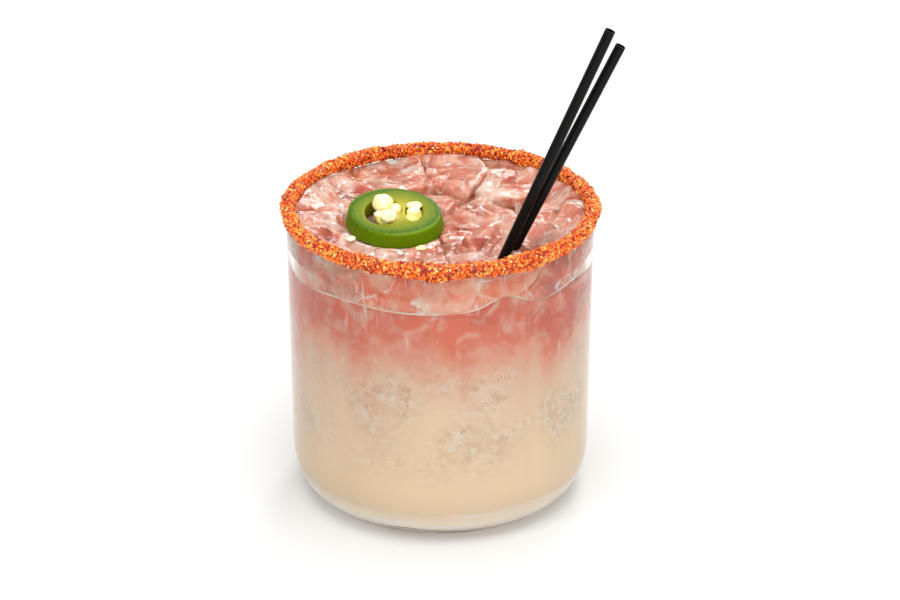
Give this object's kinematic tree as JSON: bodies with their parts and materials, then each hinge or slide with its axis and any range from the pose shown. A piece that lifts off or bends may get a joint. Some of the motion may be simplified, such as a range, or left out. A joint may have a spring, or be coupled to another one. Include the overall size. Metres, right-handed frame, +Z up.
{
  "type": "margarita cocktail",
  "caption": "Margarita over ice in a rocks tumbler with a rounded base, a chilli-salt rim, a slice of green pepper and black sip straws.",
  "frame": {"origin": "centre of the glass's foot, on the surface it stands on", "axes": "+Z up along the glass's axis, +X towards the side that the straws lean to, -Y towards the front"},
  "size_m": [0.0981, 0.0938, 0.1501],
  "materials": {
    "tumbler_glass": "clear polished soda-lime glass",
    "drink": "cloudy pale citrus drink, pink near the top",
    "chilli_salt": "coarse chilli and salt grains",
    "pepper": "waxy green skin with paler cut flesh",
    "pith": "moist pale yellow pith",
    "seed": "moist cream seeds",
    "ice": "wet melting ice",
    "straw": "satin black polypropylene"
  },
  "bodies": {
    "root": {"tumbler": "tumbler_glass", "drink": "drink", "salt_rim": "chilli_salt", "jalapeno_ring": "pepper", "pith": "pith", "seed_round": "seed", "seed_middle": "seed", "seed_front": "seed", "seed_small": "seed", "seed_long": "seed", "seed_side": "seed", "ice_01": "ice", "ice_02": "ice", "ice_03": "ice", "ice_04": "ice", "ice_05": "ice", "ice_06": "ice", "ice_07": "ice", "ice_08": "ice", "ice_09": "ice", "ice_10": "ice", "ice_11": "ice", "ice_12": "ice", "ice_13": "ice", "ice_14": "ice", "straw_front": "straw", "straw_rear": "straw"}
  },
  "joints": []
}
